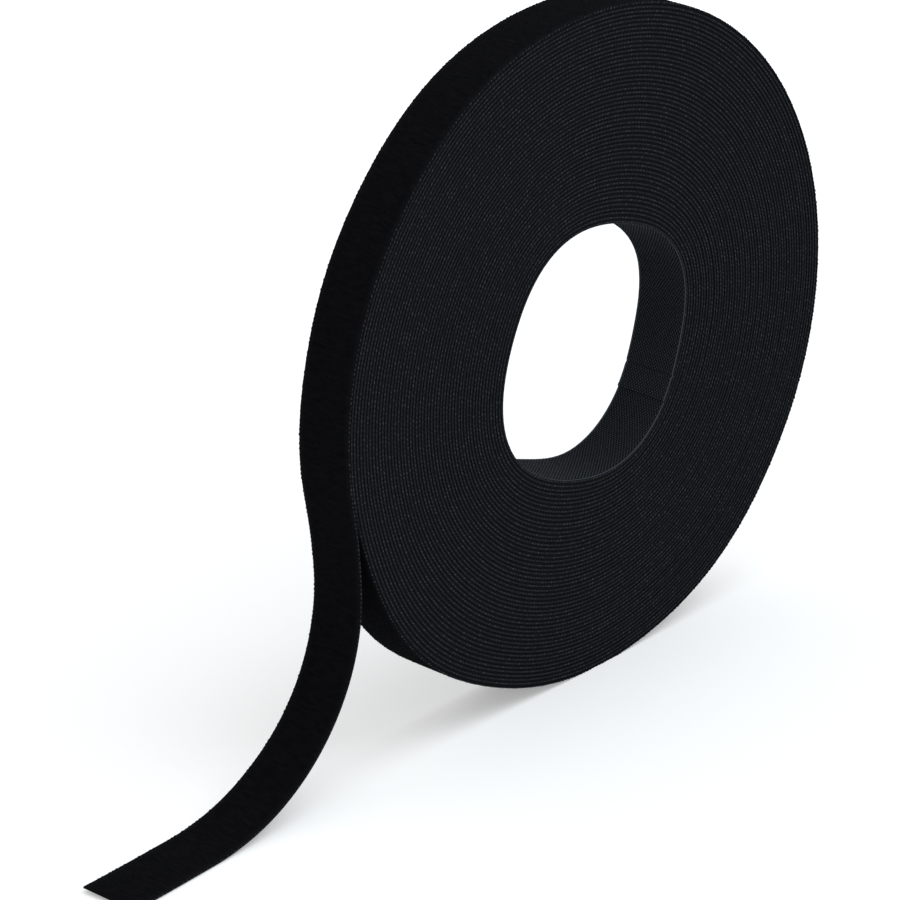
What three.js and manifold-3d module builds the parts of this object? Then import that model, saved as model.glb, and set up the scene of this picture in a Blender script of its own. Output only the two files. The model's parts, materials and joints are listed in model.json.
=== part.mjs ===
// A roll of back-to-back hook and loop tape, standing on its rim, with its free end lying on the floor.
// Millimetres, +Z up. The roll's axis is parallel to Y and the free end runs out towards -X.
// The origin is the middle of the flat that the roll stands on, straight below its axis.
import * as THREE from "three";
import { mergeVertices } from "three/addons/utils/BufferGeometryUtils.js";
import Module from "manifold-3d";

// The tape is a loop fabric bonded to a hook film. It is wound with its hooks inwards.
const TAPE_WIDTH = 20;
const LOOP_FABRIC_THICKNESS = 0.42;
const BOND_LINE = 0.06;
const HOOK_FILM_THICKNESS = 0.4;
// Hooks and pile fill the space between one turn and the next.
const MATED_GAP = 0.46;

// The roll. Angles are in degrees, from +X towards +Z as seen from the front, which faces -Y.
const BORE_RADIUS = 42.75;
const WHOLE_TURNS = 51;
const INNER_END_ANGLE = -40.6;
const STANDING_FLAT_DEPTH = 0.5;
// The first turn and the outer turns are wound ply by ply, and the turns between them are one packed ring.
const FIRST_WOUND_TURNS = 1;
const OUTER_WOUND_TURNS = 14;
const STEPS_PER_TURN = 36;
const WINDING_END_GAP = 0.3;

// The free end eases off the roll, drops through a quarter turn to the floor and lies flat.
const PEEL_BELOW_AXIS_ANGLE = 8.5;
const EASE_RADIUS = 187;
const FLAT_RUN_LENGTH = 34;
const DROP_PIECES = 4;
const STEPS_PER_TAIL_PIECE = 4;
// Its pieces bend at lines across the tape, where their ends are bevelled to let them fold.
const HINGE_GAP = 0.3;
const PEEL_FOLD_ANGLE = 75;
const TAIL_FOLD_ANGLE = 20;

const LOOP_COLOUR = 0x0d0d0f;
const FILM_COLOUR = 0x20262b;
const TURNS_COLOUR = 0x18191b;

const radians = THREE.MathUtils.degToRad;
const TAPE_THICKNESS = LOOP_FABRIC_THICKNESS + BOND_LINE + HOOK_FILM_THICKNESS;
const TURN_PITCH = TAPE_THICKNESS + MATED_GAP;
const PEEL_ANGLE = 180 + PEEL_BELOW_AXIS_ANGLE + 360 * WHOLE_TURNS;
const PACKING_START_ANGLE = INNER_END_ANGLE + 360 * FIRST_WOUND_TURNS;
const PACKING_END_ANGLE = PEEL_ANGLE - 360 * OUTER_WOUND_TURNS;
const STEP_ANGLE = 360 / STEPS_PER_TURN;
const FLOOR_ANGLE = 270;

// The two plies of the tape, between two heights over its hook side.
const FILM = { hookSide: 0, loopSide: HOOK_FILM_THICKNESS };
const FABRIC = { hookSide: HOOK_FILM_THICKNESS + BOND_LINE, loopSide: TAPE_THICKNESS };

// Radius of the hook side of the tape, at an angle counted on through the turns from the inner end.
function hookSideRadius(angle) {
  return BORE_RADIUS + TURN_PITCH * (angle - INNER_END_ANGLE) / 360;
}

// The last turn that passes under the axis is the one that stands on the floor.
const STANDING_ANGLE = FLOOR_ANGLE + 360 * Math.floor((PEEL_ANGLE - FLOOR_ANGLE) / 360);
const STANDING_RADIUS = hookSideRadius(STANDING_ANGLE) + TAPE_THICKNESS;
const AXIS_HEIGHT = STANDING_RADIUS - STANDING_FLAT_DEPTH;

function rollPoint(angle, radius) {
  const turn = radians(angle);
  return new THREE.Vector2(radius * Math.cos(turn), AXIS_HEIGHT + radius * Math.sin(turn));
}

// Every turn has its corners at the same angles, with a flat facet centred under the axis.
const cornerAngle = (corner) => FLOOR_ANGLE + (corner + 0.5) * STEP_ANGLE;
const cornerBelow = (angle) => Math.floor((angle - cornerAngle(0)) / STEP_ANGLE);

// A point on the facet between two corners, at a height over the hook side of the tape.
function facetPoint(angle, height) {
  const corner = cornerBelow(angle);
  const cornerPoint = (at) => rollPoint(at, hookSideRadius(at) + height);
  const start = cornerAngle(corner);
  return cornerPoint(start).lerp(cornerPoint(start + STEP_ANGLE), (angle - start) / STEP_ANGLE);
}

// The angles of a wound stretch: its two ends, and the corners between them.
function stretchAngles(first, last) {
  const shortest = STEP_ANGLE / 5;
  const angles = [first];
  for (let corner = cornerBelow(first) + 1; cornerAngle(corner) < last - shortest; corner += 1) {
    if (cornerAngle(corner) > first + shortest) angles.push(cornerAngle(corner));
  }
  angles.push(last);
  return angles;
}

// A strip of tape, lofted through sections that each have a point on the hook side and one on the loop side.
function stripGeometry(sections) {
  const half = TAPE_WIDTH / 2;
  const positions = [];
  for (const { hookSide, loopSide } of sections) {
    positions.push(hookSide.x, -half, hookSide.y, loopSide.x, -half, loopSide.y);
    positions.push(loopSide.x, half, loopSide.y, hookSide.x, half, hookSide.y);
  }
  const faces = [0, 2, 1, 0, 3, 2];
  for (let section = 0; section < sections.length - 1; section += 1) {
    for (let corner = 0; corner < 4; corner += 1) {
      const here = 4 * section + corner;
      const beside = 4 * section + (corner + 1) % 4;
      faces.push(here, beside, beside + 4, here, beside + 4, here + 4);
    }
  }
  const end = 4 * (sections.length - 1);
  faces.push(end, end + 1, end + 2, end, end + 2, end + 3);
  const geometry = new THREE.BufferGeometry();
  geometry.setAttribute("position", new THREE.Float32BufferAttribute(positions, 3));
  geometry.setIndex(faces);
  geometry.computeVertexNormals();
  return geometry;
}

// How far a bevelled end lies back from its hinge line, at a distance from the middle of the tape.
function endSetback(offset, foldAngle) {
  return HINGE_GAP / 2 + Math.abs(offset) * Math.tan(radians(foldAngle / 2));
}

// One ply of the wound tape, between two angles.
function windingSections(first, last, ply) {
  return stretchAngles(first, last).map((angle) => ({
    hookSide: facetPoint(angle, ply.hookSide),
    loopSide: facetPoint(angle, ply.loopSide),
  }));
}

function angleOfLength(length, angle) {
  return THREE.MathUtils.radToDeg(length / hookSideRadius(angle));
}

function distanceToSegment(point, start, end) {
  const along = end.clone().sub(start);
  const share = THREE.MathUtils.clamp(point.clone().sub(start).dot(along) / along.lengthSq(), 0, 1);
  return point.distanceTo(start.clone().addScaledVector(along, share));
}

// Least gap from the loop side of each turn of a ply, at its points and halfway, to the turn over it.
function leastTurnGap(ply, plyOver) {
  let least = Infinity;
  for (let here = 0; here < ply.length - 1; here += 1) {
    const point = ply[here].loopSide;
    const halfway = point.clone().lerp(ply[here + 1].loopSide, 0.5);
    for (let over = here + STEPS_PER_TURN - 3; over < here + STEPS_PER_TURN + 3; over += 1) {
      if (over + 1 >= plyOver.length) break;
      const start = plyOver[over].hookSide;
      const end = plyOver[over + 1].hookSide;
      least = Math.min(least, distanceToSegment(point, start, end), distanceToSegment(halfway, start, end));
    }
  }
  return least;
}

// Solids are joined and cut as closed meshes whose shared corners are merged.
const wasm = await Module();
wasm.setup();

function solidFrom(geometry) {
  const bare = geometry.clone();
  bare.deleteAttribute("normal");
  bare.deleteAttribute("uv");
  const merged = mergeVertices(bare);
  const vertProperties = new Float32Array(merged.attributes.position.array);
  const triVerts = new Uint32Array(merged.index.array);
  return new wasm.Manifold(new wasm.Mesh({ numProp: 3, vertProperties, triVerts }));
}

function geometryFrom(solid) {
  const mesh = solid.getMesh();
  const geometry = new THREE.BufferGeometry();
  geometry.setAttribute("position", new THREE.BufferAttribute(mesh.vertProperties, 3));
  geometry.setIndex(new THREE.BufferAttribute(mesh.triVerts, 1));
  geometry.computeVertexNormals();
  return geometry;
}

function pieceMesh(name, geometry, color, roughness) {
  const mesh = new THREE.Mesh(geometry, new THREE.MeshStandardMaterial({ color, roughness, metalness: 0 }));
  mesh.name = name;
  return mesh;
}

function filmMesh(name, sections) {
  return pieceMesh(`${name}_hook_film`, stripGeometry(sections), FILM_COLOUR, 0.6);
}

function fabricMesh(name, geometry) {
  return pieceMesh(`${name}_loop_fabric`, geometry, LOOP_COLOUR, 0.95);
}

// The first turn of the tape, whose hook film is the wall of the bore and whose inner end is cut straight.
function firstTurn() {
  const last = PACKING_START_ANGLE - angleOfLength(WINDING_END_GAP, PACKING_START_ANGLE);
  const film = windingSections(INNER_END_ANGLE, last, FILM);
  const fabric = windingSections(INNER_END_ANGLE, last, FABRIC);
  return [filmMesh("first_turn", film), fabricMesh("first_turn", stripGeometry(fabric))];
}

// The wound outer turns, two unbroken plies, whose fabric is pressed flat where the roll stands.
function outerTurns() {
  const first = PACKING_END_ANGLE + angleOfLength(WINDING_END_GAP, PACKING_END_ANGLE);
  const setback = endSetback(TAPE_THICKNESS / 2, PEEL_FOLD_ANGLE);
  const last = PEEL_ANGLE - angleOfLength(setback, PEEL_ANGLE);
  const film = windingSections(first, last, FILM);
  const fabric = windingSections(first, last, FABRIC);
  const say = (what, gap) => console.log(`Least gap from ${what}: ${gap.toFixed(2)} mm`);
  say("the wound hook film to itself", leastTurnGap(film, film));
  say("the wound loop fabric to itself", leastTurnGap(fabric, fabric));
  say("the wound loop fabric to the hook film over it", leastTurnGap(fabric, film));
  const cutDepth = 2 * STANDING_FLAT_DEPTH;
  const floor = new THREE.BoxGeometry(STANDING_RADIUS, 2 * TAPE_WIDTH, cutDepth);
  floor.translate(0, 0, -cutDepth / 2);
  const standing = solidFrom(stripGeometry(fabric)).subtract(solidFrom(floor));
  return [filmMesh("outer_turns", film), fabricMesh("outer_turns", geometryFrom(standing))];
}

// The packed turns between them. The ring's hole steps where the first turn ends, and its rim where the
// outer turns start.
function packedTurns() {
  const rim = stretchAngles(PACKING_END_ANGLE, PACKING_END_ANGLE + 360);
  const bore = stretchAngles(PACKING_START_ANGLE, PACKING_START_ANGLE + 360);
  const outline = new THREE.Shape(rim.map((angle) => facetPoint(angle, -MATED_GAP)));
  outline.holes.push(new THREE.Path(bore.map((angle) => facetPoint(angle, 0))));
  const geometry = new THREE.ExtrudeGeometry(outline, { depth: TAPE_WIDTH, bevelEnabled: false });
  geometry.rotateX(Math.PI / 2);
  geometry.translate(0, TAPE_WIDTH / 2, 0);
  return pieceMesh("packed_turns", geometry, TURNS_COLOUR, 0.9);
}

// The middle line of the free end, as a length along it from the peel line and an offset to the loop side.
const EASE_ANGLE = radians(PEEL_BELOW_AXIS_ANGLE);
const PEEL_POINT = facetPoint(PEEL_ANGLE, TAPE_THICKNESS / 2);
const EASE_CENTRE = new THREE.Vector2(-Math.cos(EASE_ANGLE), -Math.sin(EASE_ANGLE))
  .multiplyScalar(EASE_RADIUS)
  .add(PEEL_POINT);
const DROP_RADIUS = EASE_CENTRE.y - TAPE_THICKNESS / 2;
const DROP_CENTRE = new THREE.Vector2(EASE_CENTRE.x + EASE_RADIUS - DROP_RADIUS, EASE_CENTRE.y);
const EASE_LENGTH = EASE_RADIUS * EASE_ANGLE;
const DROP_LENGTH = DROP_RADIUS * Math.PI / 2;

function tailPoint(along, offset) {
  const arcPoint = (centre, radius, turn) =>
    new THREE.Vector2(Math.cos(turn), Math.sin(turn)).multiplyScalar(radius - offset).add(centre);
  if (along < EASE_LENGTH) return arcPoint(EASE_CENTRE, EASE_RADIUS, EASE_ANGLE - along / EASE_RADIUS);
  const dropped = along - EASE_LENGTH;
  if (dropped < DROP_LENGTH) return arcPoint(DROP_CENTRE, DROP_RADIUS, -dropped / DROP_RADIUS);
  return new THREE.Vector2(DROP_CENTRE.x - (dropped - DROP_LENGTH), TAPE_THICKNESS / 2 + offset);
}

// One ply of one piece of the free end, between two lines across the tape.
function plySections(piece, ply) {
  const pointAt = (share, height) => {
    const offset = height - TAPE_THICKNESS / 2;
    const start = piece.start + endSetback(offset, piece.startFold);
    const end = piece.cutEnd ? piece.end : piece.end - endSetback(offset, TAIL_FOLD_ANGLE);
    return tailPoint(THREE.MathUtils.lerp(start, end, share), offset);
  };
  const sections = [];
  for (let step = 0; step <= STEPS_PER_TAIL_PIECE; step += 1) {
    const share = step / STEPS_PER_TAIL_PIECE;
    sections.push({ hookSide: pointAt(share, ply.hookSide), loopSide: pointAt(share, ply.loopSide) });
  }
  return sections;
}

// The pieces of the free end in order: the lift off the roll, the drop, and the end on the floor.
function tailPieces() {
  const pieces = [{ name: "tail_lift", start: 0, end: EASE_LENGTH, startFold: PEEL_FOLD_ANGLE }];
  const dropStep = DROP_LENGTH / DROP_PIECES;
  for (let drop = 0; drop < DROP_PIECES; drop += 1) {
    const start = EASE_LENGTH + drop * dropStep;
    pieces.push({ name: `tail_drop_${drop + 1}`, start, end: start + dropStep, startFold: TAIL_FOLD_ANGLE });
  }
  const landing = EASE_LENGTH + DROP_LENGTH;
  const end = landing + FLAT_RUN_LENGTH;
  pieces.push({ name: "tail_end", start: landing, end, startFold: TAIL_FOLD_ANGLE, cutEnd: true });
  return pieces;
}

// Each piece hangs in the one before it, in a group that turns about its bend line.
function freeEnd() {
  const tail = new THREE.Group();
  let parent = tail;
  let parentPoint = new THREE.Vector2();
  for (const piece of tailPieces()) {
    const hinge = tailPoint(piece.start, 0);
    const body = new THREE.Group();
    body.name = piece.name;
    body.position.set(hinge.x - parentPoint.x, 0, hinge.y - parentPoint.y);
    const film = filmMesh(piece.name, plySections(piece, FILM));
    const fabric = fabricMesh(piece.name, stripGeometry(plySections(piece, FABRIC)));
    for (const mesh of [film, fabric]) mesh.geometry.translate(-hinge.x, 0, -hinge.y);
    body.add(film, fabric);
    parent.add(body);
    parent = body;
    parentPoint = hinge;
  }
  return tail;
}

const roll = new THREE.Group();
roll.add(...firstTurn(), packedTurns(), ...outerTurns(), freeEnd());
export default roll;
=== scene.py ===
# %% [markdown]
# A roll of black hook and loop tape stands on its rim, and its free end drops to the floor and lies flat.
# The tape has a velvety loop fabric on one face and a film with moulded hooks on the other.
# A wound thing could be modelled turn by turn, but the real one is made flat and then wound.
# This lesson does the same: each layer is made flat, and one path winds them all.

import json
import math

import bmesh
import bpy
import numpy as np
from mathutils import Euler, Matrix, Vector


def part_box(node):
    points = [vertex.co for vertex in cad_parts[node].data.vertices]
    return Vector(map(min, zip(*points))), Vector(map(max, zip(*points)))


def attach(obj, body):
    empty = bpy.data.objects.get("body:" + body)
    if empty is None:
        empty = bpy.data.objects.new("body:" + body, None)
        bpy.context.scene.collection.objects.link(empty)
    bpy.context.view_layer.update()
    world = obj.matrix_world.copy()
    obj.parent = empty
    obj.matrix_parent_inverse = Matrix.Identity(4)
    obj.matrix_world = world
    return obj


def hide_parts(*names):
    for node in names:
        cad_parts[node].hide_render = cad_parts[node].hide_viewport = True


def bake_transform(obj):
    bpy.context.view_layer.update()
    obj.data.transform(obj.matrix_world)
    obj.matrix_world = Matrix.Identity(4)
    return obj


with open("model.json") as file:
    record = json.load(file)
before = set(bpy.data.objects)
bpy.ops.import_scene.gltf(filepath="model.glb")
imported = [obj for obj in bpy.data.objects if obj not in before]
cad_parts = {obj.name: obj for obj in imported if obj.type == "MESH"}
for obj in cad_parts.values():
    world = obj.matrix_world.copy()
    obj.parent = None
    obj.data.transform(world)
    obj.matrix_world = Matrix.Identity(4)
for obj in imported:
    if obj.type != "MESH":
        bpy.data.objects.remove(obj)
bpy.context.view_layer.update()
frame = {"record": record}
record = frame["record"]
bend_points = {joint["name"]: Vector(joint["pos_m"]) for joint in record["behaviour"]["joints"]}

# %% [markdown]
# The sizes of the tape drive everything else. They are written in millimetres and turned into metres.
# Heights are measured from the middle of the tape's thickness. Minus is towards the loops, which face
# outwards on the roll, and plus is towards the hooks, which face its axis.

# %% Sizes of the tape and the roll
MM = 0.001
HALF_WIDTH = 10 * MM
HALF_THICKNESS = 0.44 * MM
TURN_PITCH = 1.34 * MM
BORE_RADIUS = 42.75 * MM
WHOLE_TURNS = 51
INNER_END_ANGLE = math.radians(-40.6)
FULL_TURN = 2 * math.pi

(bore_low, bore_high) = record["physics"]["openings"][0]["box_m"]
AXIS_HEIGHT = (bore_low[2] + bore_high[2]) / 2
print(f"The axis is {AXIS_HEIGHT / MM:.1f} mm above the floor")

# %% [markdown]
# The camera comes first, so that every later render can be set against the photograph.
# It was fitted to the outlines of the roll: it looks from the left, a little down, through a long lens.
# The roll leans by a small angle in the picture, so the camera leans instead and the roll stands true.

# %% Camera
CAMERA_AZIMUTH = math.radians(-46.94)
CAMERA_ELEVATION = math.radians(23.04)
CAMERA_LEAN = math.radians(1.58)
FOCAL_LENGTH = 169.5
SENSOR_WIDTH = 36
# Middle of the roll's front face as the camera sees it: to its right, up and forwards.
FACE_RIGHT = 46.53 * MM
FACE_UP = 31.13 * MM
FACE_AHEAD = 1340.5 * MM

face_middle = Vector((0, -HALF_WIDTH, AXIS_HEIGHT))
aim = Euler((math.pi / 2 - CAMERA_ELEVATION, 0, CAMERA_AZIMUTH)).to_matrix().to_4x4()
camera_turn = Matrix.Rotation(CAMERA_LEAN, 4, "Y") @ aim
camera_place = face_middle - camera_turn @ Vector((FACE_RIGHT, FACE_UP, -FACE_AHEAD))
camera = bpy.data.objects.new("camera", bpy.data.cameras.new("camera"))
camera.data.lens = FOCAL_LENGTH
camera.data.sensor_width = SENSOR_WIDTH
camera.matrix_world = Matrix.Translation(camera_place) @ camera_turn
bpy.context.scene.collection.objects.link(camera)
bpy.context.scene.camera = camera
print("The camera is at", [round(value, 3) for value in camera_place])

# %% [markdown]
# The path is the line that the middle of the tape follows, from its inner end in the bore to its cut end.
# On the roll it is a spiral. A perfect one would be a single formula, but a roll with no core slumps:
# its bore is a rounded square, the turns lie with a little slack, and the outer ones bulge in places.
# The inner end is pressed against the turn outside it. Just before the line where the tape peels off,
# the spiral sinks a little, to meet the model's first bend line exactly.

# %% Spiral of the wound tape
POINTS_PER_TURN = 96
BORE_CORNER_ANGLE = math.radians(25)
BORE_SQUARE = 1.3 * MM
BORE_OVAL = 0.7 * MM
BORE_SHRINK = 0.3 * MM
END_TUCK = 0.95 * MM
END_TUCK_ANGLE = math.radians(35)
SLACK = 0.07 * MM
SLACK_WAVES_PER_TURN = 2.37
BULGES = {math.radians(117): 1.0 * MM, math.radians(222): 1.8 * MM, math.radians(303): 1.0 * MM}
BULGE_HALF_ANGLE = math.radians(26)
BULGE_FROM_SHARE = 0.6
SINK_ANGLE = math.radians(40)

peel = bend_points["peel_bend"]
peel_angle = math.atan2(peel.z - AXIS_HEIGHT, peel.x) % FULL_TURN + WHOLE_TURNS * FULL_TURN
rim_radius = math.hypot(peel.x, peel.z - AXIS_HEIGHT)


def smooth_step(share):
    """Ease from 0 to 1 with no sharp start or stop."""
    share = np.clip(share, 0, 1)
    return share**2 * (3 - 2 * share)


def angle_between(angles, other):
    """Smallest angle between directions, whichever way round and however many turns apart."""
    return np.abs((angles - other + math.pi) % FULL_TURN - math.pi)


def spiral_points():
    """Middle line of the wound tape, in the plane of the roll, with the axis at the origin."""
    count = round((peel_angle - INNER_END_ANGLE) / FULL_TURN * POINTS_PER_TURN) + 1
    angles = np.linspace(INNER_END_ANGLE, peel_angle, count)
    from_end = angles - INNER_END_ANGLE
    inwards = 1 - from_end / from_end[-1]
    corner = angles - BORE_CORNER_ANGLE
    radii = BORE_RADIUS + HALF_THICKNESS + TURN_PITCH * from_end / FULL_TURN
    slump = BORE_SQUARE * np.cos(4 * corner) + BORE_OVAL * np.cos(2 * corner) - BORE_SHRINK
    radii += slump * inwards**2 + SLACK * np.sin(SLACK_WAVES_PER_TURN * angles) * inwards
    radii += END_TUCK * smooth_step(1 - from_end / END_TUCK_ANGLE)
    outer_share = smooth_step((1 - inwards - BULGE_FROM_SHARE) / (1 - BULGE_FROM_SHARE))
    for bulge_angle, bulge in BULGES.items():
        from_bulge = angle_between(angles, bulge_angle)
        radii += bulge * smooth_step(1 - from_bulge / BULGE_HALF_ANGLE) * outer_share
    sink = radii[-1] - rim_radius
    radii -= sink * smooth_step(1 - (peel_angle - angles) / SINK_ANGLE)
    return np.stack([radii * np.cos(angles), radii * np.sin(angles)], axis=1)


wound = spiral_points()
print(f"The spiral has {len(wound)} points")

# %% [markdown]
# Where the tape peels off it eases away in a wide arc, drops in a quarter circle and runs flat. The bend
# lines of the model give the arcs, so the path and the joints agree. The whole path becomes a poly curve,
# because the Curve modifier that winds the tape later needs one.

# %% Path of the whole tape
POINTS_PER_ARC = 60

lift = bend_points["lift_bend"]
landing = bend_points["landing_bend"]
cut_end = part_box("tail_end_loop_fabric")[0].x
ease_angle = 2 * math.atan2(lift.x - peel.x, peel.z - lift.z)
ease_radius = (peel.z - lift.z) / math.sin(ease_angle)
drop_radius = lift.x - landing.x


def arc_points(radius, first_angle, last_angle):
    """An arc that passes through the lift line, where the tape hangs straight down."""
    angles = np.linspace(first_angle, last_angle, POINTS_PER_ARC)[1:]
    across = lift.x - radius + radius * np.cos(angles)
    up = lift.z - AXIS_HEIGHT + radius * np.sin(angles)
    return np.stack([across, up], axis=1)


ease = arc_points(ease_radius, ease_angle, 0)
drop = arc_points(drop_radius, 0, -math.pi / 2)
flat_run = np.array([[cut_end, landing.z - AXIS_HEIGHT]])
path_points = np.concatenate([wound, ease, drop, flat_run])
lengths = np.concatenate([[0], np.cumsum(np.linalg.norm(np.diff(path_points, axis=0), axis=1))])
peel_length = lengths[len(wound) - 1]
tape_length = lengths[-1]

path_curve = bpy.data.curves.new("tape_path", "CURVE")
path_curve.dimensions = "2D"
path_curve.fill_mode = "NONE"
spline = path_curve.splines.new("POLY")
spline.points.add(len(path_points) - 1)
on_floor_with_weight = np.tile([0.0, 1.0], (len(path_points), 1))
spline.points.foreach_set("co", np.hstack([path_points, on_floor_with_weight]).ravel())
tape_path = bpy.data.objects.new("tape_path", path_curve)
bpy.context.scene.collection.objects.link(tape_path)
print(f"Wound length {peel_length:.2f} m, free end {(tape_length - peel_length) / MM:.0f} mm")

# %% [markdown]
# A layer of the tape is a flat strip: the outline of its section, swept along X. The spin operator could
# sweep it, but over thousands of steps the Screw modifier, with no turn, does it far faster.
# Then both ends are closed.

# %% Flat strips
def new_piece(name, bm):
    """Turn a bmesh into an object in the scene."""
    mesh = bpy.data.meshes.new(name)
    bm.to_mesh(mesh)
    bm.free()
    piece = bpy.data.objects.new(name, mesh)
    bpy.context.scene.collection.objects.link(piece)
    return piece


def apply_modifiers(piece):
    """Give a piece the mesh that its modifiers make of it."""
    graph = bpy.context.evaluated_depsgraph_get()
    mesh = bpy.data.meshes.new_from_object(piece.evaluated_get(graph))
    piece.modifiers.clear()
    piece.data = mesh


def flat_strip(name, section, start, end, step):
    """Sweep a section, given as (across, height) corners, between two lengths along the flat tape."""
    bm = bmesh.new()
    corners = [bm.verts.new((start, height, across)) for across, height in section]
    for corner, following in zip(corners, corners[1:] + corners[:1]):
        bm.edges.new((corner, following))
    strip = new_piece(name, bm)
    sweep = strip.modifiers.new("sweep", "SCREW")
    sweep.axis = "X"
    sweep.angle = 0
    sweep.screw_offset = end - start
    sweep.steps = max(2, round((end - start) / step))
    sweep.render_steps = sweep.steps
    apply_modifiers(strip)
    bm = bmesh.new()
    bm.from_mesh(strip.data)
    open_ends = [edge for edge in bm.edges if edge.is_boundary]
    bmesh.ops.holes_fill(bm, edges=open_ends, sides=0)
    bmesh.ops.recalc_face_normals(bm, faces=bm.faces)
    bm.to_mesh(strip.data)
    bm.free()
    return strip


def mirrored(half_section):
    """Complete a section from its half at the front edge, walked from the loop side to the hook side."""
    return half_section + [(-across, height) for across, height in reversed(half_section)]


# %% [markdown]
# Stitches, loops and hooks are small shapes that an Array modifier repeats along the flat tape.
# Their steps are counted from the inner end, so a pattern runs on unbroken from one piece to the next.

# %% Repeating small shapes
def whole_steps(start, end, pitch):
    """Where a repeated pattern starts within a piece, and how often it repeats."""
    first = round(start / pitch)
    return first * pitch, round(end / pitch) - first


def repeat(piece, offset, count):
    """Repeat a piece in one direction, by an offset in metres."""
    array = piece.modifiers.new("repeat", "ARRAY")
    array.use_relative_offset = False
    array.use_constant_offset = True
    array.constant_offset_displace = offset
    array.count = count


# %% [markdown]
# The corners of a mesh are read and written as one array, which is far quicker than one by one.
# Where they lie on the flat tape becomes a UV map in millimetres, so a pattern follows the tape
# wherever it goes.

# %% Corners and flat coordinates
FLAT_UV = "flat_tape"


def read_corners(mesh):
    """All corners of a mesh, one row each."""
    corners = np.empty(3 * len(mesh.vertices))
    mesh.vertices.foreach_get("co", corners)
    return corners.reshape(-1, 3)


def write_corners(mesh, corners):
    """Put moved corners back into their mesh."""
    mesh.vertices.foreach_set("co", corners.ravel())
    mesh.update()


def keep_flat_coordinates(mesh):
    """Store where each corner lies on the flat tape, along and across, in millimetres."""
    vertex_of_loop = np.empty(len(mesh.loops), dtype=np.int32)
    mesh.loops.foreach_get("vertex_index", vertex_of_loop)
    flat = read_corners(mesh)[vertex_of_loop][:, [0, 2]] / MM
    layer = mesh.uv_layers.new(name=FLAT_UV)
    layer.uv.foreach_set("vector", flat.ravel())


# %% [markdown]
# A wound roll is never quite true. While the tape is still flat, it is made to stray sideways by a hair's
# breadth, its inner end is pressed thin, and a faint crease crosses it near that end.
# The free end runs true.

# %% Straying tape
STRAY_SIZES = (0.045 * MM, 0.03 * MM)
STRAY_WAVES = (0.83, 0.47)
TRUE_RUN = 0.3
CREASE_AT = 8.6 * MM
CREASE_HALF_LENGTH = 0.45 * MM
CREASE_DEPTH = 0.5 * MM
PRESSED_SHARE = 0.4
PRESSED_LENGTH = 26 * MM


def stray(mesh):
    """Move a flat mesh as the real tape strays, is pressed and is creased."""
    corners = read_corners(mesh)
    along = corners[:, 0].copy()
    waves = zip(STRAY_SIZES, STRAY_WAVES)
    sideways = sum(size * np.sin(FULL_TURN * along / wave) for size, wave in waves)
    corners[:, 2] += sideways * smooth_step((peel_length - along) / TRUE_RUN)
    corners[:, 1] *= 1 - PRESSED_SHARE * smooth_step(1 - along / PRESSED_LENGTH)
    corners[:, 1] -= CREASE_DEPTH * np.exp(-((along - CREASE_AT) / CREASE_HALF_LENGTH) ** 2)
    write_corners(mesh, corners)


# %% [markdown]
# Some of the slump shows at the back edge alone, so no path can give it. The bore is dented there in two
# places, and the rim bulges beside the peel line. The free end lies a little askew: it twists, so that
# its back edge stands off the floor by a millimetre, it swings to the front, and its cut slants.

# %% Slumped back and askew free end
BACK_DENTS = {math.radians(-112): 1.6 * MM, math.radians(50): 1.5 * MM}
DENT_HALF_ANGLE = math.radians(36)
DENT_OUT_TO = 66 * MM
BACK_BULGE = 1.2 * MM
BACK_BULGE_ANGLE = math.radians(184)
BACK_BULGE_HALF_ANGLE = math.radians(22)
TWIST_LIFT = 1.1 * MM
TWIST_BETWEEN = (-113 * MM, -145 * MM)
SWING = 1.8 * MM
SWING_FROM = -160 * MM
CUT_SLANT = 1.8 * MM


def share_at_back(corners):
    """Rise from 0 at the front edge of the tape to 1 at its back edge."""
    return np.clip(0.5 + corners[:, 1] / (2 * HALF_WIDTH), 0, 1)


def push_back_edges(corners):
    """Press the back of the bore in towards the axis, and push the back of the rim out."""
    up = corners[:, 2] - AXIS_HEIGHT
    radius = np.hypot(corners[:, 0], up)
    angles = np.arctan2(up, corners[:, 0])
    inner = smooth_step((DENT_OUT_TO - radius) / (DENT_OUT_TO - BORE_RADIUS))
    outer = smooth_step((radius - DENT_OUT_TO) / (rim_radius - DENT_OUT_TO))
    depth = sum(size * smooth_step(1 - angle_between(angles, middle) / DENT_HALF_ANGLE)
                for middle, size in BACK_DENTS.items())
    from_bulge = angle_between(angles, BACK_BULGE_ANGLE)
    rise = BACK_BULGE * smooth_step(1 - from_bulge / BACK_BULGE_HALF_ANGLE)
    shrink = (depth * inner - rise * outer) * share_at_back(corners) / radius
    corners[:, 0] -= corners[:, 0] * shrink
    corners[:, 2] -= up * shrink


def lay_askew(corners):
    """Lift the back edge of the free end, swing its end to the front and slant its cut."""
    out = corners[:, 0]
    at_back = share_at_back(corners)
    twist_start, twist_full = TWIST_BETWEEN
    twisted = smooth_step((out - twist_start) / (twist_full - twist_start))
    swung = smooth_step((out - SWING_FROM) / (cut_end - SWING_FROM))
    corners[:, 2] += TWIST_LIFT * twisted * at_back
    corners[:, 1] -= SWING * swung
    corners[:, 0] -= CUT_SLANT * swung * at_back


# %% [markdown]
# A Curve modifier lays a flat piece along the path. The path is drawn lying down, so the finished mesh is
# turned upright and raised to the axis. The roll's weight presses it flat where it stands on the floor.

# %% Winding and standing up
SMOOTH_ANGLE = math.radians(80)
upright = Matrix.Translation((0, 0, AXIS_HEIGHT)) @ Matrix.Rotation(math.pi / 2, 4, "X")


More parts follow.
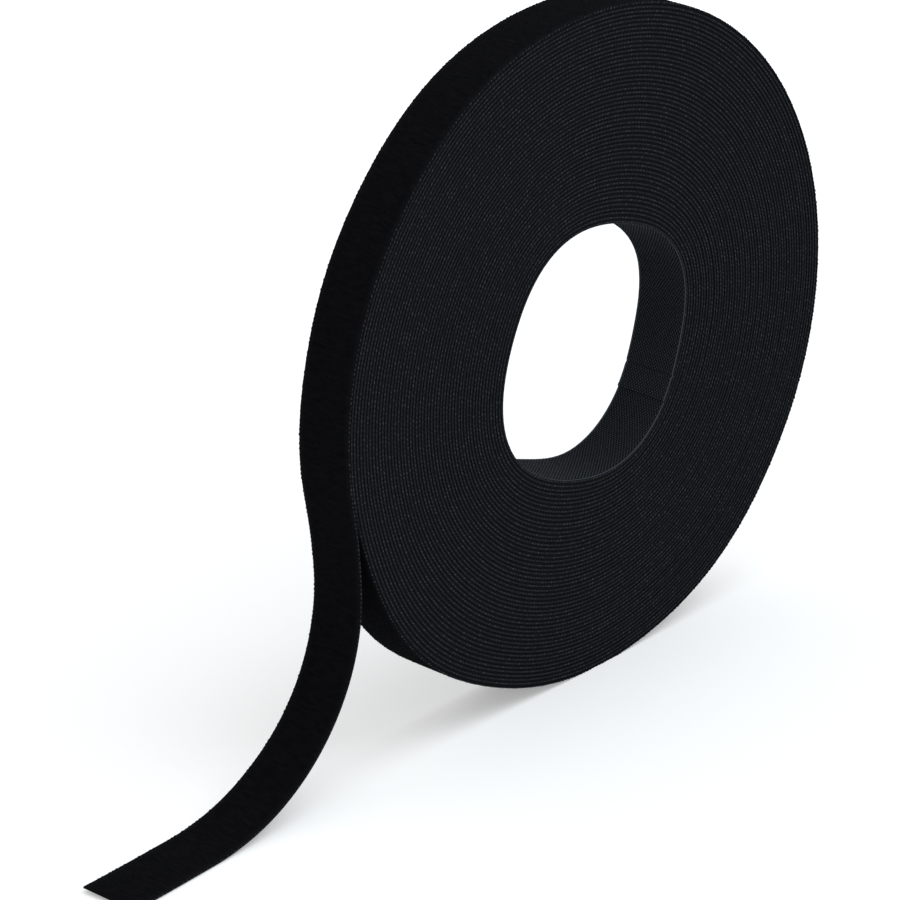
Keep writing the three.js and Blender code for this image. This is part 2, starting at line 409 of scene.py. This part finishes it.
def wind(piece):
    """Lay a flat piece along the path and stand it up."""
    apply_modifiers(piece)
    keep_flat_coordinates(piece.data)
    stray(piece.data)
    bend = piece.modifiers.new("wind", "CURVE")
    bend.object = tape_path
    bend.deform_axis = "POS_X"
    apply_modifiers(piece)
    piece.data.transform(upright)
    corners = read_corners(piece.data)
    push_back_edges(corners)
    lay_askew(corners)
    corners[:, 2] = np.maximum(corners[:, 2], 0)
    write_corners(piece.data, corners)
    piece.data.shade_smooth()
    piece.data.set_sharp_from_angle(angle=SMOOTH_ANGLE)
    print(f"{piece.name}: {len(piece.data.loops) - 2 * len(piece.data.polygons)} triangles")


# %% [markdown]
# Materials are procedural. Each reads the flat coordinates of the tape, so its pattern is wound with it.
# A small helper adds a node and links or sets its inputs, which keeps each finish short to read.

# %% Material helpers
def new_finish(name, surface):
    """Start a material and set the constants of its shader."""
    material = bpy.data.materials.new(name)
    material.use_nodes = True
    tree = material.node_tree
    shader = tree.nodes["Principled BSDF"]
    for key, value in surface.items():
        shader.inputs[key].default_value = value
    print("Finish:", name)
    return material, tree, shader


def add_node(tree, kind, inputs, **settings):
    """Add a node, set its own settings, and set each input to a value or link it to a socket."""
    node = tree.nodes.new(kind)
    for key, value in settings.items():
        setattr(node, key, value)
    for key, value in inputs.items():
        if isinstance(value, bpy.types.NodeSocket):
            tree.links.new(value, node.inputs[key])
        else:
            node.inputs[key].default_value = value
    return node


def tape_coordinates(tree):
    """Where a point lies on the flat tape, in millimetres."""
    return add_node(tree, "ShaderNodeUVMap", {}, uv_map=FLAT_UV).outputs["UV"]


def noise_share(tree, place, **inputs):
    """A noise texture's value, from 0 to 1."""
    return add_node(tree, "ShaderNodeTexNoise", {"Vector": place, **inputs}).outputs["Fac"]


def share_between(tree, share, first, second):
    """Mix two values by a share."""
    inputs = {"Factor": share, "A": first, "B": second}
    return add_node(tree, "ShaderNodeMix", inputs, data_type="FLOAT").outputs["Result"]


def colour_between(tree, share, dark, light):
    """Mix two colours, each given as numbers or as a socket, by a texture's share."""
    mix = add_node(tree, "ShaderNodeMix", {"Factor": share}, data_type="RGBA")
    sockets = [socket for socket in mix.inputs if socket.type == "RGBA"]
    for socket, colour in zip(sockets, (dark, light)):
        if isinstance(colour, bpy.types.NodeSocket):
            tree.links.new(colour, socket)
        else:
            socket.default_value = (*colour, 1)
    return next(socket for socket in mix.outputs if socket.type == "RGBA")


def share_near_edge(tree, along_tape, first_mm, last_mm):
    """Rise from 0 to 1 between two distances from the middle of the tape's width."""
    across = add_node(tree, "ShaderNodeSeparateXYZ", {"Vector": along_tape}).outputs["Y"]
    distance = add_node(tree, "ShaderNodeMath", {0: across}, operation="ABSOLUTE").outputs[0]
    inputs = {"Value": distance, "From Min": first_mm, "From Max": last_mm}
    return add_node(tree, "ShaderNodeMapRange", inputs).outputs["Result"]


# %% [markdown]
# The loop face is a knitted pile, brushed up like velvet. It is almost black. The knitting shows through
# as faint cross-wise streaks, which a wave texture would make too even. A noise that is stretched across
# the tape breaks them up. Towards the edges the pile is thinner and a little lighter. It takes a soft
# sheen where it is seen at a shallow angle.

# %% Loop pile finish
PILE_SURFACE = {
    "Roughness": 0.95,
    "Specular IOR Level": 0.0,
    "Sheen Weight": 0.015,
    "Sheen Roughness": 0.45,
    "Sheen Tint": (0.9, 0.93, 1.0, 1),
}
STREAK_LENGTHS_MM = (1.1, 4.5, 1.0)
FIBRE_SHARE = 0.35
PILE_RELIEF = {"Strength": 0.5, "Distance": 0.12 * MM}
THICK_PILE_COLOURS = ((0.0012, 0.0012, 0.0016), (0.0084, 0.0083, 0.0095))
THIN_PILE_COLOURS = ((0.003, 0.003, 0.0038), (0.0125, 0.0125, 0.0148))
THIN_PILE_MM = (7.8, 9.9)


def loop_pile_finish():
    """Almost black velvet with faint streaks across the tape."""
    material, tree, shader = new_finish("loop_pile", PILE_SURFACE)
    along_tape = tape_coordinates(tree)
    streak_inputs = {0: along_tape, 1: STREAK_LENGTHS_MM}
    stretched = add_node(tree, "ShaderNodeVectorMath", streak_inputs, operation="DIVIDE")
    streaks = noise_share(tree, stretched.outputs["Vector"], Scale=1.0, Detail=1.0, Distortion=0.6)
    fibres = noise_share(tree, along_tape, Scale=3.0, Detail=4.0)
    height = share_between(tree, FIBRE_SHARE, streaks, fibres)
    relief = add_node(tree, "ShaderNodeBump", {"Height": height, **PILE_RELIEF})
    thick = colour_between(tree, height, *THICK_PILE_COLOURS)
    thin = colour_between(tree, height, *THIN_PILE_COLOURS)
    near_edge = share_near_edge(tree, along_tape, *THIN_PILE_MM)
    tree.links.new(colour_between(tree, near_edge, thick, thin), shader.inputs["Base Color"])
    tree.links.new(relief.outputs["Normal"], shader.inputs["Normal"])
    return material


loop_pile = loop_pile_finish()

# %% [markdown]
# Seen on the face of the roll, each turn shows the edge of its fabric, where the knitting yarns turn back
# in a row of small stitches. They are dark grey, and no two reflect quite alike: white noise gives every
# stitch its own shade, and a soft noise makes longer stretches lighter or darker.

# %% Edge yarn finish
STITCH_PITCH = 1.5 * MM
YARN_SURFACE = {"Roughness": 0.75, "Specular IOR Level": 0.05}
YARN_COLOURS = ((0.0085, 0.0091, 0.0106), (0.054, 0.0575, 0.065))
LONG_STRETCH_SHARE = 0.4


def edge_yarn_finish():
    """Dark grey yarn that differs from stitch to stitch."""
    material, tree, shader = new_finish("edge_yarn", YARN_SURFACE)
    along_tape = tape_coordinates(tree)
    along = add_node(tree, "ShaderNodeSeparateXYZ", {"Vector": along_tape}).outputs["X"]
    count_inputs = {0: along, 1: STITCH_PITCH / MM}
    count = add_node(tree, "ShaderNodeMath", count_inputs, operation="DIVIDE").outputs[0]
    number = add_node(tree, "ShaderNodeMath", {0: count}, operation="FLOOR").outputs[0]
    own_shade = add_node(tree, "ShaderNodeTexWhiteNoise", {"W": number}, noise_dimensions="1D")
    stretches = noise_share(tree, along_tape, Scale=0.12, Detail=2.0)
    share = share_between(tree, LONG_STRETCH_SHARE, own_shade.outputs["Value"], stretches)
    tree.links.new(colour_between(tree, share, *YARN_COLOURS), shader.inputs["Base Color"])
    return material


edge_yarn = edge_yarn_finish()

# %% [markdown]
# Between two turns the hooks of one are buried in the pile of the other, and only a dark slot shows.
# The edge of the fabric itself is a little lighter than the slot.

# %% Wound edge finish
WOUND_SURFACE = {"Roughness": 1.0, "Specular IOR Level": 0.02}
SLOT_COLOURS = ((0.005, 0.0054, 0.0064), (0.0145, 0.0154, 0.018))
EDGE_COLOURS = ((0.008, 0.0086, 0.0102), (0.022, 0.0233, 0.027))
EDGE_FACE_MM = (9.8, 9.98)


def wound_edge_finish():
    """Matt fibres, dark in the slots between the turns."""
    material, tree, shader = new_finish("wound_edge", WOUND_SURFACE)
    along_tape = tape_coordinates(tree)
    fibres = noise_share(tree, along_tape, Scale=1.5, Detail=3.0)
    slot = colour_between(tree, fibres, *SLOT_COLOURS)
    edge = colour_between(tree, fibres, *EDGE_COLOURS)
    at_edge = share_near_edge(tree, along_tape, *EDGE_FACE_MM)
    tree.links.new(colour_between(tree, at_edge, slot, edge), shader.inputs["Base Color"])
    return material


wound_edge = wound_edge_finish()

# %% [markdown]
# The hook face is a moulded plastic film. It has a dull satin gloss and a cold blue-grey cast. Along its
# two edges runs a smooth raised border, whose paler colour is a painted glint, though its own edge is dark
# again. Buried in the roll the film has no painted glint and stays dark.

# %% Hook film finish
FILM_SURFACE = {"Roughness": 0.7, "Specular IOR Level": 0.01, "Specular Tint": (0.82, 0.91, 1.0, 1)}
FILM_COLOURS = ((0.0078, 0.0086, 0.01), (0.0128, 0.014, 0.0162))
# The border's pale colour is a painted glint. Buried in the roll the border gets the film's dark colour
# instead.
BORDER_GLINT_COLOUR = (0.072, 0.09, 0.107)
BURIED_BORDER_COLOUR = (0.008, 0.0088, 0.0105)
BORDER_GLINT_MM = (9.25, 9.75)
GLINT_END_MM = (9.9, 9.94)


def hook_film_finish(name, border_glint_colour):
    """Satin film, with painted glint of the given colour on its border."""
    material, tree, shader = new_finish(name, FILM_SURFACE)
    along_tape = tape_coordinates(tree)
    flow = noise_share(tree, along_tape, Scale=0.25, Detail=3.0)
    film = colour_between(tree, flow, *FILM_COLOURS)
    # The band of painted glint on the border, which stops short of the film's own edge.
    border_inputs = {
        0: share_near_edge(tree, along_tape, *BORDER_GLINT_MM),
        1: share_near_edge(tree, along_tape, *GLINT_END_MM),
    }
    on_glinting_border = add_node(tree, "ShaderNodeMath", border_inputs, operation="SUBTRACT").outputs[0]
    tree.links.new(colour_between(tree, on_glinting_border, film, border_glint_colour), shader.inputs["Base Color"])
    return material


hook_film = hook_film_finish("hook_film", BORDER_GLINT_COLOUR)
buried_film = hook_film_finish("buried_film", BURIED_BORDER_COLOUR)

# %% [markdown]
# The hooks are moulded with the film, but their colour is lighter: painted light for their rounded tops,
# which catch more light than the ground between.

# %% Hook finish
HOOK_SURFACE = {"Roughness": 0.6, "Specular IOR Level": 0.04, "Specular Tint": (0.7, 0.88, 1.0, 1)}
# Lighter than the film, which is the same plastic: painted light on the hooks.
LIT_HOOK_COLOURS = ((0.0225, 0.0248, 0.0296), (0.056, 0.0618, 0.0725))


def hook_finish():
    """Satin plastic, a little uneven, as it left the mould, and lightened by painted light."""
    material, tree, shader = new_finish("moulded_hooks", HOOK_SURFACE)
    shades = noise_share(tree, tape_coordinates(tree), Scale=0.6, Detail=2.0)
    tree.links.new(colour_between(tree, shades, *LIT_HOOK_COLOURS), shader.inputs["Base Color"])
    return material


moulded_hooks = hook_finish()

# %% [markdown]
# The wound fabric is one long strip. Its section has the edge of the fabric at each side, standing proud,
# and between the edges the deeper pile that is mated with the hooks of the next turn. The first turn,
# which lies under the film that shows in the bore, has finer steps and is a piece of its own.

# %% Wound fabric
FABRIC_INSIDE = 0.04 * MM
EDGE_OUTSIDE = -0.56 * MM
MATED_OUTSIDE = -1.3 * MM
MATED_RECESS = 0.3 * MM
WOUND_STEP = 5.0 * MM
FIRST_TURN_STEP = 0.5 * MM
EXPOSED_BEFORE_PEEL = 2.0 * MM

first_turn_length = lengths[POINTS_PER_TURN]
exposed_from = lengths[len(wound) - 1 - POINTS_PER_TURN] - EXPOSED_BEFORE_PEEL
wound_section = mirrored([
    (HALF_WIDTH - MATED_RECESS, MATED_OUTSIDE),
    (HALF_WIDTH - MATED_RECESS, EDGE_OUTSIDE),
    (HALF_WIDTH, EDGE_OUTSIDE),
    (HALF_WIDTH, FABRIC_INSIDE),
])
first_turn_fabric = flat_strip("first_turn_fabric", wound_section, 0, first_turn_length, FIRST_TURN_STEP)
wound_fabric = flat_strip("wound_fabric", wound_section, first_turn_length, exposed_from, WOUND_STEP)
for fabric in (first_turn_fabric, wound_fabric):
    fabric.data.materials.append(wound_edge)
    wind(fabric)

# %% [markdown]
# The outermost turn shows its pile, from just under the line where the tape peels off. Its section is a
# low cushion with rounded edges. Next to that line the pile still stands up, where hooks were just pulled
# out of it.

# %% Outer turn
PILE_OUTSIDE = -0.46 * MM
CUSHION_TOP = [(3.0 * MM, PILE_OUTSIDE), (8.6 * MM, PILE_OUTSIDE)]
CUSHION_EDGE = [(9.4 * MM, -0.45 * MM), (9.8 * MM, -0.42 * MM), (HALF_WIDTH, -0.34 * MM)]
TAIL_OVERLAP = 12 * MM
PILE_STEP = 2.0 * MM
RAISED_PILE = 0.8 * MM
RAISED_LENGTH = 20 * MM
RAISED_ABOVE = -0.3 * MM


def raise_pile(piece):
    """Lift the outer side of a flat piece near the start of the outermost turn."""
    corners = read_corners(piece.data)
    along, height = corners[:, 0], corners[:, 1]
    near_peel = smooth_step(1 - (along - exposed_from) / RAISED_LENGTH)
    corners[:, 1] -= RAISED_PILE * near_peel * (height < RAISED_ABOVE)
    write_corners(piece.data, corners)


pile_section = mirrored(CUSHION_TOP + CUSHION_EDGE + [(HALF_WIDTH, FABRIC_INSIDE)])
tail_from = peel_length - TAIL_OVERLAP
outer_turn_fabric = flat_strip("outer_turn_fabric", pile_section, exposed_from, tail_from, PILE_STEP)
outer_turn_fabric.data.materials.append(loop_pile)
raise_pile(outer_turn_fabric)
wind(outer_turn_fabric)

# %% [markdown]
# The film under the fabric is a plain thin strip where turns hide it. In the bore it shows, so the first
# turn has finer steps and the film's raised border.

# %% Wound film and bore film
FILM_INSIDE = 0.16 * MM
WOUND_FILM_EDGE = 9.78 * MM
FILM_EDGE = 9.95 * MM
BORDER_WIDTH = 0.27 * MM
BORDER_HEIGHT = 0.16 * MM

film_section = mirrored([(WOUND_FILM_EDGE, FABRIC_INSIDE), (WOUND_FILM_EDGE, FILM_INSIDE)])
wound_film = flat_strip("wound_film", film_section, first_turn_length, tail_from, WOUND_STEP)
bordered_section = mirrored([
    (FILM_EDGE, FABRIC_INSIDE),
    (FILM_EDGE, FILM_INSIDE + BORDER_HEIGHT / 2),
    (FILM_EDGE - BORDER_WIDTH / 3, FILM_INSIDE + BORDER_HEIGHT),
    (FILM_EDGE - BORDER_WIDTH, FILM_INSIDE + BORDER_HEIGHT),
    (FILM_EDGE - BORDER_WIDTH, FILM_INSIDE),
])
bore_film = flat_strip("bore_film", bordered_section, 0, first_turn_length, FIRST_TURN_STEP)
for film, finish in ((wound_film, buried_film), (bore_film, hook_film)):
    film.data.materials.append(finish)
    wind(film)

# %% [markdown]
# Yarn is never regular, so copies made by an Array look too neat. Every copy of a stitch or a loop gets
# its own small shift, turn and size, from a random generator whose seed is the number of copies.

# %% Loosening copies
def loosen(piece, corners_each, root_height, shift, turn, size):
    """Shift, turn and resize every copy in a repeated flat piece, about its root on the fabric."""
    apply_modifiers(piece)
    copies = read_corners(piece.data).reshape(-1, corners_each, 3)
    chance = np.random.default_rng(len(copies))
    shifts, turns, sizes = (chance.uniform(-1, 1, (len(copies), count)) for count in (2, 1, 1))
    roots = copies.mean(axis=1)
    roots[:, 1] = root_height
    resized = (copies - roots[:, None]) * (1 + size * sizes[:, :, None])
    along, height, across = np.moveaxis(resized, 2, 0)
    cosine, sine = np.cos(turn * turns), np.sin(turn * turns)
    turned = np.stack([along * cosine - across * sine, height, along * sine + across * cosine], axis=2)
    roots[:, [0, 2]] += shift * shifts
    write_corners(piece.data, turned + roots[:, None])


# %% [markdown]
# A stitch is a small slanting bead of yarn, half sunk in the edge of the fabric. A bead of eight faces is
# enough, since thousands of them share one face of the roll.

# %% Edge stitches
STITCH_HALF_SIZE = (0.54 * MM, 0.27 * MM, 0.22 * MM)
STITCH_SLANT = math.radians(16)
STITCH_MIDDLE = -0.22 * MM
STITCH_LOOSENESS = {"shift": 0.09 * MM, "turn": 0.12, "size": 0.3}


def edge_stitches(name, start, end, across):
    """A row of stitches along one edge of the tape."""
    first, count = whole_steps(start, end, STITCH_PITCH)
    bm = bmesh.new()
    bmesh.ops.create_uvsphere(bm, u_segments=4, v_segments=2, radius=1)
    bmesh.ops.scale(bm, vec=STITCH_HALF_SIZE, verts=bm.verts)
    bmesh.ops.rotate(bm, matrix=Matrix.Rotation(STITCH_SLANT, 3, "Z"), verts=bm.verts)
    bmesh.ops.translate(bm, vec=(first + STITCH_PITCH / 2, STITCH_MIDDLE, across), verts=bm.verts)
    corners_each = len(bm.verts)
    stitches = new_piece(name, bm)
    repeat(stitches, (STITCH_PITCH, 0, 0), count)
    stitches.data.materials.append(edge_yarn)
    loosen(stitches, corners_each, STITCH_MIDDLE, **STITCH_LOOSENESS)
    wind(stitches)
    return stitches


half_wound = tail_from / 2
edges = {"front": HALF_WIDTH, "back": -HALF_WIDTH}
wound_stitches = []
for side, across in edges.items():
    wound_stitches.append(edge_stitches(f"inner_{side}_stitches", 0, half_wound, across))
    wound_stitches.append(edge_stitches(f"outer_{side}_stitches", half_wound, tail_from, across))

# %% [markdown]
# The pile itself is a lawn of tiny yarn loops. Each is a half ring, spun from a triangle. Rows of them are
# repeated both ways and then loosened far more than the stitches, so that they lie in all directions.

# %% Pile loops
LOOP_SPACING = 0.85 * MM
LOOP_ROWS = 23
LOOP_RADIUS = 0.17 * MM
LOOP_YARN_SIDES = 3
LOOP_YARN_RADIUS = 0.045 * MM
LOOP_STEPS = 4
LOOP_ROOT = PILE_OUTSIDE + 0.06 * MM
LOOP_LOOSENESS = {"shift": 0.4 * MM, "turn": math.pi, "size": 0.3}
LOOP_PIECES = 3


def pile_loops(name, start, end):
    """A lawn of loops over the whole width of the tape."""
    first, count = whole_steps(start, end, LOOP_SPACING)
    bm = bmesh.new()
    yarn = bmesh.ops.create_circle(bm, segments=LOOP_YARN_SIDES, radius=LOOP_YARN_RADIUS)["verts"]
    bmesh.ops.rotate(bm, matrix=Matrix.Rotation(math.pi / 2, 3, "X"), verts=yarn)
    bmesh.ops.translate(bm, vec=(-LOOP_RADIUS, 0, 0), verts=yarn)
    bmesh.ops.spin(bm, geom=bm.edges[:], cent=(0, 0, 0), axis=(0, 0, 1), angle=math.pi,
                   steps=LOOP_STEPS)
    bmesh.ops.holes_fill(bm, edges=[edge for edge in bm.edges if edge.is_boundary], sides=0)
    bmesh.ops.recalc_face_normals(bm, faces=bm.faces)
    first_row = -(LOOP_ROWS - 1) / 2 * LOOP_SPACING
    bmesh.ops.translate(bm, vec=(first + LOOP_SPACING / 2, LOOP_ROOT, first_row), verts=bm.verts)
    corners_each = len(bm.verts)
    loops = new_piece(name, bm)
    repeat(loops, (0, 0, LOOP_SPACING), LOOP_ROWS)
    repeat(loops, (LOOP_SPACING, 0, 0), count)
    loops.data.materials.append(loop_pile)
    loosen(loops, corners_each, LOOP_ROOT, **LOOP_LOOSENESS)
    raise_pile(loops)
    wind(loops)
    return loops


loop_bounds = np.linspace(exposed_from, tail_from, LOOP_PIECES + 1)
outer_loops = [pile_loops(f"outer_turn_loops_{number}", start, end)
               for number, (start, end) in enumerate(zip(loop_bounds, loop_bounds[1:]), start=1)]

# %% [markdown]
# In the bore the hooks show. Each is a short stem that curls over. It could be a swept curve, but a small
# square that is extruded and then spun over has far fewer faces, and there are thousands of hooks.

# %% One hook
HOOK_STEM_SIDES = 4
HOOK_STEM_RADIUS = 0.19 * MM
HOOK_STEM_HEIGHT = 0.06 * MM
HOOK_CURL_RADIUS = 0.19 * MM
HOOK_CURL_ANGLE = math.radians(150)
HOOK_CURL_STEPS = 4


def edges_of(geometry):
    """The edges among what a bmesh operator made."""
    return [item for item in geometry if isinstance(item, bmesh.types.BMEdge)]


def add_hook(bm, along, across, facing):
    """One hook on the film, curling forwards or backwards along the tape over the middle of its place."""
    before = set(bm.verts)
    root = bmesh.ops.create_circle(bm, segments=HOOK_STEM_SIDES, radius=HOOK_STEM_RADIUS)["verts"]
    bmesh.ops.rotate(bm, matrix=Matrix.Rotation(-math.pi / 2, 3, "X"), verts=root)
    root_edges = list({edge for vert in root for edge in vert.link_edges})
    bmesh.ops.edgeloop_fill(bm, edges=root_edges)
    stem = bmesh.ops.extrude_edge_only(bm, edges=root_edges)["geom"]
    stem_top = [item for item in stem if isinstance(item, bmesh.types.BMVert)]
    bmesh.ops.translate(bm, vec=(0, HOOK_STEM_HEIGHT, 0), verts=stem_top)
    curl_start = [edge for edge in edges_of(stem) if edge.is_boundary]
    curl_middle = (HOOK_CURL_RADIUS, HOOK_STEM_HEIGHT, 0)
    curl = bmesh.ops.spin(bm, geom=curl_start, cent=curl_middle, axis=(0, 0, -1),
                          angle=HOOK_CURL_ANGLE, steps=HOOK_CURL_STEPS)["geom_last"]
    bmesh.ops.edgeloop_fill(bm, edges=edges_of(curl))
    made = [vert for vert in bm.verts if vert not in before]
    bmesh.ops.translate(bm, vec=(-HOOK_CURL_RADIUS, 0, 0), verts=made)
    bmesh.ops.scale(bm, vec=(facing, 1, 1), verts=made)
    bmesh.ops.translate(bm, vec=(along, FILM_INSIDE, across), verts=made)


# %% [markdown]
# Two hooks that face opposite ways fill a cell, and the cells repeat both ways, so the hooks stand in
# slanting rows. They run on for a little under the inner end, which covers the last ones.

# %% Hooks in the bore
HOOK_CELL = (1.58 * MM, 1.095 * MM)
HOOK_ROWS = 17
HOOKS_PAST_END = 2.5 * MM


def hook_field(name, start, end):
    """Hooks over the whole width of the film, centred on it."""
    cell_length, cell_width = HOOK_CELL
    first_row = -(HOOK_ROWS - 0.5) / 2 * cell_width
    first, count = whole_steps(start, end, cell_length)
    bm = bmesh.new()
    add_hook(bm, first + cell_length / 4, first_row, 1)
    add_hook(bm, first + 3 * cell_length / 4, first_row + cell_width / 2, -1)
    bmesh.ops.recalc_face_normals(bm, faces=bm.faces)
    hooks = new_piece(name, bm)
    repeat(hooks, (0, 0, cell_width), HOOK_ROWS)
    repeat(hooks, (cell_length, 0, 0), count)
    hooks.data.materials.append(moulded_hooks)
    wind(hooks)
    return hooks


hooks_end = first_turn_length + HOOKS_PAST_END
bore_hooks = [
    hook_field("bore_hooks_1", 0, hooks_end / 2),
    hook_field("bore_hooks_2", hooks_end / 2, hooks_end),
]

# %% [markdown]
# The pieces of the roll all move with it, and they stand for the model's wound solids.

# %% Roll pieces join the frame
slots = {
    "wound_tape": [first_turn_fabric, wound_fabric, *wound_stitches],
    "loop_fabric": [outer_turn_fabric, *outer_loops],
    "hook_film": [wound_film, bore_film, *bore_hooks],
}
for slot, pieces in slots.items():
    for piece in pieces:
        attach(piece, "roll")
    print(f"{len(pieces)} pieces of {slot} ride with the roll")
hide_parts("first_turn_loop_fabric")
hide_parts("packed_turns", "outer_turns_loop_fabric")
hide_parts("outer_turns_loop_fabric")
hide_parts("outer_turns_hook_film")
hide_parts("first_turn_hook_film")

# %% [markdown]
# The free end bends at six lines. It could be one long piece that blends over all of them, but a piece
# blends between two bodies only. So each stretch runs from the middle of one body to the middle of the
# next, and the seams lie where nothing bends.

# %% Stretches of the free end
DROP_NUMBERS = (1, 2, 3, 4)
TAIL_BODIES = ["roll", "tail_lift", *(f"tail_drop_{number}" for number in DROP_NUMBERS), "tail_end"]

ease_length = ease_radius * ease_angle
drop_step = drop_radius * math.pi / 2 / len(DROP_NUMBERS)
drop_bends = [ease_length + number * drop_step for number in DROP_NUMBERS]
bend_lengths = [peel_length + length for length in (0, ease_length, *drop_bends)]
middles = [(first + second) / 2 for first, second in zip(bend_lengths, bend_lengths[1:])]
stretch_ends = [tail_from, *middles, tape_length]
print("Stretches in mm:", ", ".join(f"{length / MM:.1f}" for length in np.diff(stretch_ends)))

# %% [markdown]
# A stretch has the same fabric, stitches, loops, film and hooks as the roll, joined into one piece for
# each face of the tape.

# %% Free end
FREE_STEP = 1.0 * MM


def join_pieces(main, *others):
    """Make other pieces part of the main one."""
    bpy.context.view_layer.update()
    with bpy.context.temp_override(active_object=main, selected_editable_objects=[main, *others]):
        bpy.ops.object.join()


def tail_stretch(number, start, end):
    """One stretch of the free end, from one length along the tape to another."""
    body_before, body_after = TAIL_BODIES[number - 1], TAIL_BODIES[number]
    fabric = flat_strip(f"tail_fabric_{number}", pile_section, start, end, FREE_STEP)
    fabric.data.materials.append(loop_pile)
    wind(fabric)
    stitches = [edge_stitches(f"tail_{side}_stitches_{number}", start, end, across)
                for side, across in edges.items()]
    join_pieces(fabric, pile_loops(f"tail_loops_{number}", start, end), *stitches)
    film = flat_strip(f"tail_film_{number}", bordered_section, start, end, FREE_STEP)
    film.data.materials.append(hook_film)
    wind(film)
    join_pieces(film, hook_field(f"tail_hooks_{number}", start, end))
    for piece in (fabric, film):
        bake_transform(piece)
    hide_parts(f"{body_after}_loop_fabric")
    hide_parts(f"{body_after}_hook_film")


for number, bend_at in enumerate(bend_lengths, start=1):
    tail_stretch(number, stretch_ends[number - 1], stretch_ends[number])
bpy.data.objects.remove(tape_path)

# %% [markdown]
# The studio is a pale floor under a white surround. A brighter surround would wash out the black tape, so
# what the camera sees of it is white, while the light that it gives stays at a plain level.

# %% Surround
SURROUND_LIGHT = 0.7
WHITE = (1, 1, 1, 1)


def larger(tree, first, second):
    """The larger of two values."""
    return add_node(tree, "ShaderNodeMath", {0: first, 1: second}, operation="MAXIMUM").outputs[0]


def seen_directly(tree):
    """One for rays that come from the camera or from a gloss or glass that it looks at."""
    path = tree.nodes.new("ShaderNodeLightPath").outputs
    camera_or_gloss = larger(tree, path["Is Camera Ray"], path["Is Glossy Ray"])
    return larger(tree, camera_or_gloss, path["Is Transmission Ray"])


world = bpy.data.worlds.new("surround")
world.use_nodes = True
surround = world.node_tree.nodes["Background"]
surround.inputs["Color"].default_value = WHITE
level = share_between(world.node_tree, seen_directly(world.node_tree), SURROUND_LIGHT, 1.0)
world.node_tree.links.new(level, surround.inputs["Strength"])
bpy.context.scene.world = world
print(f"The surround gives {SURROUND_LIGHT} of the light that it shows")

# %% [markdown]
# The floor keeps the soft shadow of the roll. It glows a little where it is seen directly, and more so
# far from the roll, where it fades into the surround, so that no horizon shows.

# %% Floor
FLOOR_SIZE = 6.0
FLOOR_BELOW = 0.1 * MM
FLOOR_SURFACE = {
    "Base Color": (0.85, 0.85, 0.85, 1),
    "Roughness": 1.0,
    "Specular IOR Level": 0.0,
    "Emission Color": WHITE,
}
FLOOR_GLOW = 0.3
FLOOR_FADE = (0.4, 1.6)

bm = bmesh.new()
bmesh.ops.create_grid(bm, x_segments=1, y_segments=1, size=FLOOR_SIZE / 2)
floor = new_piece("floor", bm)
floor.data.transform(Matrix.Translation((0, 0, -FLOOR_BELOW)))
floor_finish, floor_tree, floor_shader = new_finish("pale_floor", FLOOR_SURFACE)
floor_place = floor_tree.nodes.new("ShaderNodeTexCoord").outputs["Object"]
from_middle = add_node(floor_tree, "ShaderNodeVectorMath", {0: floor_place}, operation="LENGTH")
glow_there = add_node(floor_tree, "ShaderNodeMapRange", {
    "Value": from_middle.outputs["Value"],
    "From Min": FLOOR_FADE[0],
    "From Max": FLOOR_FADE[1],
    "To Min": FLOOR_GLOW,
    "To Max": 1.0,
}).outputs["Result"]
glow_inputs = {0: seen_directly(floor_tree), 1: glow_there}
floor_glow = add_node(floor_tree, "ShaderNodeMath", glow_inputs, operation="MULTIPLY").outputs[0]
floor_tree.links.new(floor_glow, floor_shader.inputs["Emission Strength"])
floor.data.materials.append(floor_finish)

# %% [markdown]
# A wide, slightly cool lamp overhead makes the surfaces that face up the lightest. It hangs on the right,
# in front of the roll, so that the face of the roll is lit too.

# %% Lamp
LAMP_POWER = 38
LAMP_COLOUR = (0.84, 0.95, 1.0)
LAMP_SIZE = 2.5
LAMP_PLACE = Vector((0.9, -0.9, 2.8))

lamp_data = bpy.data.lights.new("overhead_lamp", "AREA")
lamp_data.energy = LAMP_POWER
lamp_data.color = LAMP_COLOUR
lamp_data.size = LAMP_SIZE
lamp = bpy.data.objects.new("overhead_lamp", lamp_data)
lamp.location = LAMP_PLACE
lamp.rotation_euler = (face_middle - LAMP_PLACE).to_track_quat("-Z", "Y").to_euler()
bpy.context.scene.collection.objects.link(lamp)
bpy.context.scene.view_settings.view_transform = "Standard"
print(f"The lamp is {(face_middle - LAMP_PLACE).length:.2f} m from the roll")
